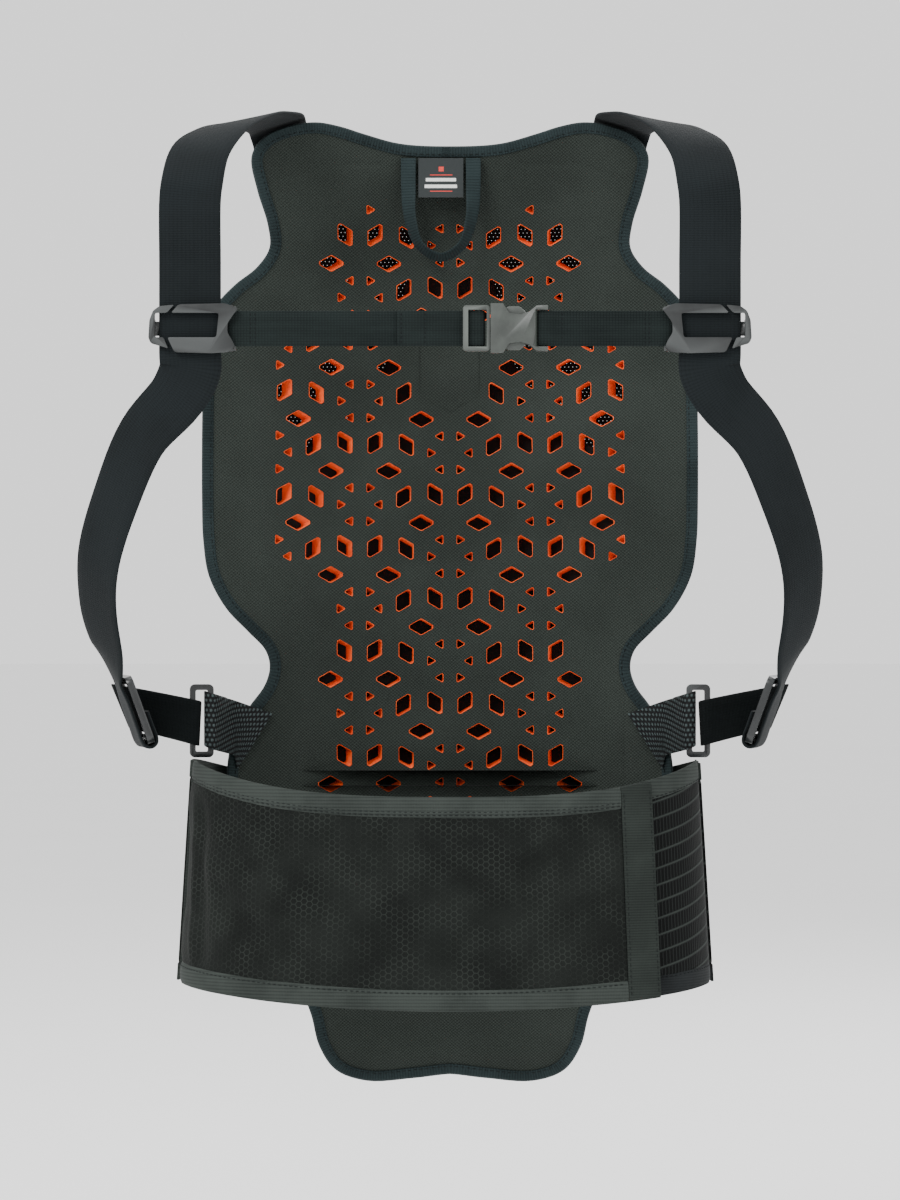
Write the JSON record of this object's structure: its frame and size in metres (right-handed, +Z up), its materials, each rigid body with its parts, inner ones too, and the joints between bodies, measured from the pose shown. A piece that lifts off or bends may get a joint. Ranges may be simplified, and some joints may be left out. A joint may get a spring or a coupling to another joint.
{
  "type": "motorcycle back protector",
  "caption": "Perforated foam spine protector in a fabric cover, with shoulder straps, a buckled chest strap and a wide kidney belt that closes in front.",
  "frame": {"origin": "on the liner's flat spot in the small of the back, where the panel rests on the wearer's spine", "axes": "+Z up along the spine, -Y towards the wearer's chest, +Y out through the panel's outer cover, +X to the right as the wearer's front is looked at"},
  "size_m": [0.4318, 0.2032, 0.5823],
  "materials": {
    "liner_mesh": "perforated spacer mesh",
    "foam_orange": "moulded closed-cell foam",
    "stiffener_plate": "satin",
    "cover_fabric": "woven nylon",
    "binding_tape": "grosgrain",
    "overlay_fabric": "coated weave",
    "strap_webbing": "elastic webbing",
    "chest_webbing": "nylon webbing",
    "belt_mesh": "honeycomb stretch mesh",
    "belt_tape": "grosgrain",
    "rib_elastic": "ribbed elastic",
    "mesh_webbing": "open mesh webbing",
    "slider_plastic": "semi-gloss",
    "buckle_plastic": "satin",
    "hook_and_loop": "hook-and-loop pile",
    "label_cloth": "satin label"
  },
  "bodies": {
    "back_panel": {"liner_panel": "liner_mesh", "core_foam": "foam_orange", "spine_stiffener": "stiffener_plate", "outer_cover": "cover_fabric", "edge_binding": "binding_tape", "spine_overlay": "overlay_fabric", "belt_back": "belt_mesh", "belt_side_left": "belt_mesh", "belt_side_right": "rib_elastic", "shoulder_strap_left": "strap_webbing", "side_loop_left": "strap_webbing", "mesh_tab_left": "mesh_webbing", "strap_end_ring_left": "slider_plastic", "side_ring_left": "slider_plastic", "shoulder_strap_right": "strap_webbing", "side_loop_right": "strap_webbing", "mesh_tab_right": "mesh_webbing", "strap_end_ring_right": "slider_plastic", "side_ring_right": "slider_plastic"},
    "chest_strap": {"chest_slider_left": "slider_plastic", "chest_slider_right": "slider_plastic", "chest_web_left": "chest_webbing", "chest_web_right": "chest_webbing", "buckle_housing": "buckle_plastic", "buckle_insert": "buckle_plastic"},
    "prong_upper": {"buckle_prong_upper": "buckle_plastic"},
    "prong_lower": {"buckle_prong_lower": "buckle_plastic"},
    "belt_left": {"wing_left_panel": "belt_mesh", "wing_left_top_binding": "belt_tape", "wing_left_bottom_binding": "belt_tape", "wing_left_end_band": "belt_tape", "wing_left_piping": "belt_tape", "hook_patch": "hook_and_loop"},
    "belt_right": {"wing_right_panel": "rib_elastic", "wing_right_top_binding": "belt_tape", "wing_right_bottom_binding": "belt_tape", "loop_patch": "hook_and_loop"},
    "hanger": {"hanger_loop": "binding_tape"},
    "label": {"size_label": "label_cloth"}
  },
  "joints": [
    {"name": "chest_strap_height", "type": "slide", "parent": "back_panel", "child": "chest_strap", "axis": [0, 0, 1], "range_m": [-0.004, 0.045]},
    {"name": "prong_upper_squeeze", "type": "hinge", "parent": "chest_strap", "child": "prong_upper", "pos_m": [0.023, -0.1504, 0.2221], "axis": [0, 1, 0], "range_deg": [0, 6], "stiffness_Nm_per_rad": 0.3},
    {"name": "prong_lower_squeeze", "type": "hinge", "parent": "chest_strap", "child": "prong_lower", "pos_m": [0.023, -0.1504, 0.2049], "axis": [0, -1, 0], "range_deg": [0, 6], "stiffness_Nm_per_rad": 0.3},
    {"name": "belt_left_open", "type": "hinge", "parent": "back_panel", "child": "belt_left", "pos_m": [-0.1539, -0.0802, -0.1], "axis": [-0.0613, 0, -0.9981], "range_deg": [0, 100]},
    {"name": "belt_right_open", "type": "hinge", "parent": "back_panel", "child": "belt_right", "pos_m": [0.1481, -0.0802, -0.1], "axis": [-0.0591, 0, 0.9983], "range_deg": [0, 50]},
    {"name": "hanger_flip", "type": "hinge", "parent": "back_panel", "child": "hanger", "pos_m": [-0.0055, 0.00458, 0.3256], "axis": [-1, 0, 0], "range_deg": [0, 160]},
    {"name": "label_flip", "type": "hinge", "parent": "back_panel", "child": "label", "pos_m": [-0.0055, 0.00458, 0.3256], "axis": [-1, 0, 0], "range_deg": [0, 120]}
  ],
  "couplings": [
    {"joint": "prong_lower_squeeze", "follows": "prong_upper_squeeze", "ratio": 1},
    {"joint": "belt_right_open", "follows": "belt_left_open", "ratio": 0.5}
  ]
}
